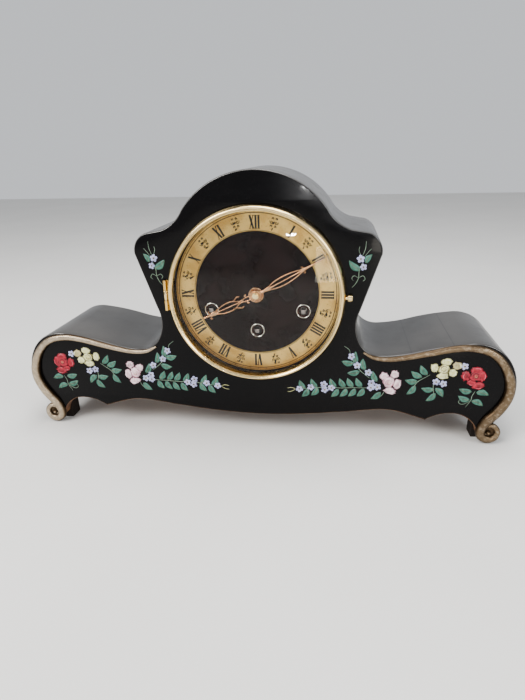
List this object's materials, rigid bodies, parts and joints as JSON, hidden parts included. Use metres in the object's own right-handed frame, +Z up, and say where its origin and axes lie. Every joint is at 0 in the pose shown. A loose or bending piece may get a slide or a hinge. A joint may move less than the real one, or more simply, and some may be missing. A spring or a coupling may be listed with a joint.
{
  "type": "mantel clock",
  "caption": "Mantel clock in a low hat-shaped case with scroll feet, hinged domed bezel, winding squares, and a sprung movement with pendulum and chime behind a hinged back door.",
  "frame": {"origin": "on the table surface under the middle of the clock's box", "axes": "+X to the right facing the dial, +Y toward the back, +Z up"},
  "size_m": [0.4938, 0.1193, 0.26],
  "materials": {
    "lacquer": "black lacquer, satin to gloss",
    "bare_wood": "plain stained board",
    "gilt": "worn antique gold leaf",
    "steel": "bright steel",
    "brass": "satin brass",
    "glass": "clear domed glass",
    "dial_brown": "dark brown",
    "chapter_brass": "satin, engraved",
    "nickel": "bright",
    "cast_iron": "black enamelled casting",
    "bezel_brass": "polished",
    "hand_copper": "copper-coloured, polished"
  },
  "bodies": {
    "case": {"front_panel": "lacquer", "hood_wrap": "lacquer", "left_arm_wrap": "lacquer", "right_arm_wrap": "lacquer", "back_panel": "bare_wood", "base_board": "bare_wood", "foot_blocks": "bare_wood", "left_scroll_moulding": "gilt", "right_scroll_moulding": "gilt", "dial_pan": "brass", "bezel_hinge_pin": "steel", "dial_plate": "dial_brown", "chapter_ring": "chapter_brass", "winding_eyelets": "nickel", "front_plate": "brass", "back_plate": "brass", "plate_pillars": "steel", "movement_straps": "steel", "movement_screws": "steel", "chime_rods": "steel", "rod_block": "cast_iron", "suspension_cock": "brass", "winding_clicks": "steel", "hammer_arbor": "steel", "door_hinges": "brass"},
    "bezel": {"bezel_ring": "bezel_brass", "dial_glass": "glass", "glass_retainer": "brass", "bezel_knob": "bezel_brass"},
    "door": {"back_door": "bare_wood"},
    "button": {"turn_button": "brass"},
    "minute": {"centre_arbor": "brass", "cannon_pinion": "steel", "minute_hand": "hand_copper", "hand_nut": "hand_copper"},
    "hour": {"hour_wheel": "brass", "hour_hand": "hand_copper"},
    "motion": {"minute_wheel": "brass"},
    "time_drum": {"time_barrel": "brass"},
    "time_key": {"time_winding_arbor": "steel"},
    "middle": {"intermediate_wheel": "brass"},
    "third": {"third_wheel": "brass"},
    "escape": {"escape_wheel": "brass"},
    "anchor": {"verge": "steel"},
    "pendulum": {"pendulum_rod": "steel", "pendulum_bob": "brass"},
    "rating": {"rating_nut": "brass"},
    "strike_drum": {"strike_barrel": "brass"},
    "strike_key": {"strike_winding_arbor": "steel"},
    "strike_second": {"strike_wheel": "brass"},
    "strike_vane": {"strike_fly": "steel"},
    "chime_great": {"chime_barrel": "brass"},
    "chime_key": {"chime_winding_arbor": "steel"},
    "chime_second": {"chime_wheel": "brass"},
    "chime_vane": {"chime_fly": "steel"},
    "chime_cylinder": {"chime_drum": "brass"},
    "hammer_a": {"hammer_1": "brass"},
    "hammer_b": {"hammer_2": "brass"},
    "hammer_c": {"hammer_3": "brass"},
    "hammer_d": {"hammer_4": "brass"}
  },
  "joints": [
    {"name": "bezel_opens", "type": "hinge", "parent": "case", "child": "bezel", "pos_m": [-0.0875, -0.04755, 0.146], "axis": [0, 0, -1], "range_deg": [0, 110]},
    {"name": "door_opens", "type": "hinge", "parent": "case", "child": "door", "pos_m": [-0.07, 0.05725, 0.146], "axis": [0, 0, -1], "range_deg": [-100, 0]},
    {"name": "button_turns", "type": "hinge", "parent": "door", "child": "button", "pos_m": [0.06, 0.05565, 0.132], "axis": [0, 1, 0], "range_deg": [0, 180]},
    {"name": "hands_turn", "type": "hinge", "parent": "case", "child": "minute", "pos_m": [0, -0.00535, 0.146], "axis": [0, 1, 0], "continuous": true},
    {"name": "hour_turns", "type": "hinge", "parent": "case", "child": "hour", "pos_m": [0, -0.03535, 0.146], "axis": [0, 1, 0], "continuous": true},
    {"name": "motion_turns", "type": "hinge", "parent": "case", "child": "motion", "pos_m": [-0.01061, -0.02735, 0.13539], "axis": [0, 1, 0], "continuous": true},
    {"name": "middle_turns", "type": "hinge", "parent": "case", "child": "middle", "pos_m": [0.01414, -0.00535, 0.12967], "axis": [0, 1, 0], "continuous": true},
    {"name": "time_barrel_turns", "type": "hinge", "parent": "case", "child": "time_drum", "pos_m": [0, -0.00535, 0.1091], "axis": [0, 1, 0], "continuous": true},
    {"name": "third_turns", "type": "hinge", "parent": "case", "child": "third", "pos_m": [-0.00671, -0.00535, 0.16569], "axis": [0, 1, 0], "continuous": true},
    {"name": "escape_turns", "type": "hinge", "parent": "case", "child": "escape", "pos_m": [0, -0.00535, 0.181], "axis": [0, 1, 0], "continuous": true},
    {"name": "time_winds", "type": "hinge", "parent": "case", "child": "time_key", "pos_m": [0, -0.00535, 0.1091], "axis": [0, 1, 0], "continuous": true},
    {"name": "pendulum_swings", "type": "hinge", "parent": "case", "child": "pendulum", "pos_m": [0, 0.02465, 0.199], "axis": [0, 1, 0], "range_deg": [-4, 4]},
    {"name": "anchor_rocks", "type": "hinge", "parent": "case", "child": "anchor", "pos_m": [0, -0.00535, 0.199], "axis": [0, 1, 0], "range_deg": [-4, 4]},
    {"name": "rating_turns", "type": "hinge", "parent": "pendulum", "child": "rating", "pos_m": [0, 0.02465, 0.0784], "axis": [0, 0, 1], "continuous": true},
    {"name": "strike_barrel_turns", "type": "hinge", "parent": "case", "child": "strike_drum", "pos_m": [-0.0452, -0.00535, 0.1295], "axis": [0, 1, 0], "continuous": true},
    {"name": "strike_second_turns", "type": "hinge", "parent": "case", "child": "strike_second", "pos_m": [-0.04087, -0.00535, 0.15408], "axis": [0, 1, 0], "continuous": true},
    {"name": "strike_fly_turns", "type": "hinge", "parent": "case", "child": "strike_vane", "pos_m": [-0.03595, -0.00535, 0.17015], "axis": [0, 1, 0], "continuous": true},
    {"name": "strike_winds", "type": "hinge", "parent": "case", "child": "strike_key", "pos_m": [-0.0452, -0.00535, 0.1295], "axis": [0, 1, 0], "continuous": true},
    {"name": "chime_barrel_turns", "type": "hinge", "parent": "case", "child": "chime_great", "pos_m": [0.0452, -0.00535, 0.1295], "axis": [0, 1, 0], "continuous": true},
    {"name": "chime_second_turns", "type": "hinge", "parent": "case", "child": "chime_second", "pos_m": [0.04087, -0.00535, 0.15408], "axis": [0, 1, 0], "continuous": true},
    {"name": "chime_fly_turns", "type": "hinge", "parent": "case", "child": "chime_vane", "pos_m": [0.03595, -0.00535, 0.17015], "axis": [0, 1, 0], "continuous": true},
    {"name": "chime_drum_turns", "type": "hinge", "parent": "case", "child": "chime_cylinder", "pos_m": [0.0452, -0.00535, 0.09622], "axis": [0, 1, 0], "continuous": true},
    {"name": "chime_winds", "type": "hinge", "parent": "case", "child": "chime_key", "pos_m": [0.0452, -0.00535, 0.1295], "axis": [0, 1, 0], "continuous": true},
    {"name": "hammer_a_lifts", "type": "hinge", "parent": "case", "child": "hammer_a", "pos_m": [0.0267, -0.00535, 0.0905], "axis": [0, 1, 0], "range_deg": [-9, 0]},
    {"name": "hammer_b_lifts", "type": "hinge", "parent": "case", "child": "hammer_b", "pos_m": [0.0267, -0.00535, 0.0905], "axis": [0, 1, 0], "range_deg": [-9, 0]},
    {"name": "hammer_c_lifts", "type": "hinge", "parent": "case", "child": "hammer_c", "pos_m": [0.0267, -0.00535, 0.0905], "axis": [0, 1, 0], "range_deg": [-9, 0]},
    {"name": "hammer_d_lifts", "type": "hinge", "parent": "case", "child": "hammer_d", "pos_m": [0.0267, -0.00535, 0.0905], "axis": [0, 1, 0], "range_deg": [-9, 0]}
  ],
  "couplings": [
    {"joint": "hour_turns", "follows": "hands_turn", "ratio": 0.083333},
    {"joint": "motion_turns", "follows": "hands_turn", "ratio": -0.33333},
    {"joint": "middle_turns", "follows": "hands_turn", "ratio": -0.2},
    {"joint": "time_barrel_turns", "follows": "hands_turn", "ratio": 0.028571},
    {"joint": "third_turns", "follows": "hands_turn", "ratio": -12},
    {"joint": "escape_turns", "follows": "hands_turn", "ratio": 120},
    {"joint": "anchor_rocks", "follows": "pendulum_swings", "ratio": 1},
    {"joint": "strike_second_turns", "follows": "strike_barrel_turns", "ratio": -7},
    {"joint": "strike_fly_turns", "follows": "strike_barrel_turns", "ratio": 63},
    {"joint": "chime_second_turns", "follows": "chime_barrel_turns", "ratio": -7},
    {"joint": "chime_fly_turns", "follows": "chime_barrel_turns", "ratio": 63},
    {"joint": "chime_drum_turns", "follows": "chime_barrel_turns", "ratio": -1.9091}
  ]
}
